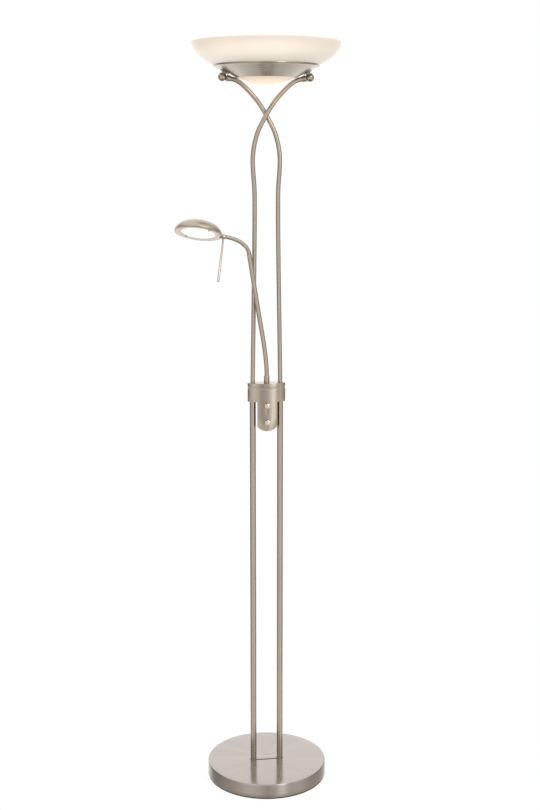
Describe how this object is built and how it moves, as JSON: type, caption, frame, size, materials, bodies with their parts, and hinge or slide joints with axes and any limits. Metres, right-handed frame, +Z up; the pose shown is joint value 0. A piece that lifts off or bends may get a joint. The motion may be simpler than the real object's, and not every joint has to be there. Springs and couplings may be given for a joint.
{
  "type": "torchiere floor lamp with reading light",
  "caption": "Uplighter floor lamp with a frosted glass bowl on crossed tubes, dimmer knobs, and a reading light on a swivelling arm with a flexible neck.",
  "frame": {"origin": "centre of the base's underside, on the floor", "axes": "+Z up along the lamp, -Y towards the side with the dimmer knobs, +X to the right for someone who faces the knobs"},
  "size_m": [0.3904, 0.3452, 1.801],
  "materials": {
    "satin_nickel": "satin nickel plate, warm grey",
    "turned_nickel": "satin nickel plate, turned in fine circles",
    "chrome": "bright chrome plate",
    "zinc_plated_steel": "zinc plated, dull",
    "cast_iron": "raw casting, painted black",
    "spun_aluminium": "spun and polished",
    "opal_glass": "frosted opal glass",
    "clear_glass": "clear quartz glass",
    "black_plastic": "moulded, matt",
    "lead_sheath": "heat resisting sheath",
    "ceramic": "unglazed steatite ceramic",
    "silicone": "soft silicone",
    "pad_rubber": "foamed rubber, black"
  },
  "bodies": {
    "stand": {"arm_collar": "satin_nickel", "ball_joint_left": "satin_nickel", "ball_joint_right": "satin_nickel", "base_cover": "turned_nickel", "base_foot_pad": "pad_rubber", "base_weight": "cast_iron", "bowl_nipple_left": "zinc_plated_steel", "bowl_nipple_right": "zinc_plated_steel", "bowl_nut_left": "zinc_plated_steel", "bowl_nut_right": "zinc_plated_steel", "cable_grommet": "black_plastic", "control_housing": "satin_nickel", "cradle_dish": "satin_nickel", "dimmer_box": "black_plastic", "dimmer_lower": "black_plastic", "dimmer_upper": "black_plastic", "glass_bowl": "opal_glass", "glass_washer_left": "silicone", "glass_washer_right": "silicone", "housing_closing_plate": "zinc_plated_steel", "housing_lid": "satin_nickel", "lamp_bracket": "zinc_plated_steel", "lamp_holder_left": "ceramic", "lamp_holder_right": "ceramic", "linear_halogen_lamp": "clear_glass", "lower_pole_left": "satin_nickel", "lower_pole_right": "satin_nickel", "neck_flange_left": "satin_nickel", "neck_flange_right": "satin_nickel", "pole_foot_plate": "satin_nickel", "pole_nipple_left": "zinc_plated_steel", "pole_nipple_right": "zinc_plated_steel", "pole_nut_left": "zinc_plated_steel", "pole_nut_right": "zinc_plated_steel", "supply_lead": "lead_sheath", "tube_ferrule_left": "satin_nickel", "tube_ferrule_right": "satin_nickel", "uplight_lead": "lead_sheath", "upper_tube_left": "satin_nickel", "upper_tube_right": "satin_nickel"},
    "knob_upper": {"knob_upper": "chrome"},
    "knob_lower": {"knob_lower": "chrome"},
    "reading_arm": {"arm_tube": "satin_nickel", "arm_retaining_nut": "zinc_plated_steel", "flexible_neck_1": "satin_nickel"},
    "neck_link_2": {"flexible_neck_2": "satin_nickel"},
    "neck_link_3": {"flexible_neck_3": "satin_nickel"},
    "neck_link_4": {"flexible_neck_4": "satin_nickel"},
    "neck_link_5": {"flexible_neck_5": "satin_nickel"},
    "reading_head": {"head_shell": "satin_nickel", "head_rim_ring": "satin_nickel", "head_lens": "opal_glass", "head_reflector": "spun_aluminium", "head_lamp_holder": "ceramic", "head_capsule_lamp": "clear_glass", "lens_clip_near": "chrome", "lens_clip_far": "chrome", "head_neck_block": "satin_nickel", "head_handle": "satin_nickel"}
  },
  "joints": [
    {"name": "arm_swivel", "type": "hinge", "parent": "stand", "child": "reading_arm", "pos_m": [0, -0.006, 1], "axis": [0, 0, 1], "range_deg": [-2, 150]},
    {"name": "neck_bend_1", "type": "hinge", "parent": "reading_arm", "child": "neck_link_2", "pos_m": [-0.04873, -0.01894, 1.33161], "axis": [-0.2264, 0.974, 0], "range_deg": [-11, 11]},
    {"name": "neck_bend_2", "type": "hinge", "parent": "neck_link_2", "child": "neck_link_3", "pos_m": [-0.05868, -0.02106, 1.34185], "axis": [-0.1904, 0.9817, 0], "range_deg": [-11, 11]},
    {"name": "neck_bend_3", "type": "hinge", "parent": "neck_link_3", "child": "neck_link_4", "pos_m": [-0.07089, -0.02317, 1.3493], "axis": [-0.1504, 0.9886, 0], "range_deg": [-11, 11]},
    {"name": "neck_bend_4", "type": "hinge", "parent": "neck_link_4", "child": "neck_link_5", "pos_m": [-0.08428, -0.0249, 1.35453], "axis": [-0.1051, 0.9945, 0], "range_deg": [-11, 11]},
    {"name": "head_swivel", "type": "hinge", "parent": "neck_link_5", "child": "reading_head", "pos_m": [-0.09831, -0.02601, 1.3579], "axis": [0.9835, 0.0515, -0.1736], "range_deg": [-80, 80]},
    {"name": "knob_upper_turn", "type": "hinge", "parent": "stand", "child": "knob_upper", "pos_m": [0, -0.0187, 0.954], "axis": [0, -1, 0], "range_deg": [-140, 140]},
    {"name": "knob_lower_turn", "type": "hinge", "parent": "stand", "child": "knob_lower", "pos_m": [0, -0.0187, 0.913], "axis": [0, -1, 0], "range_deg": [-140, 140]}
  ]
}
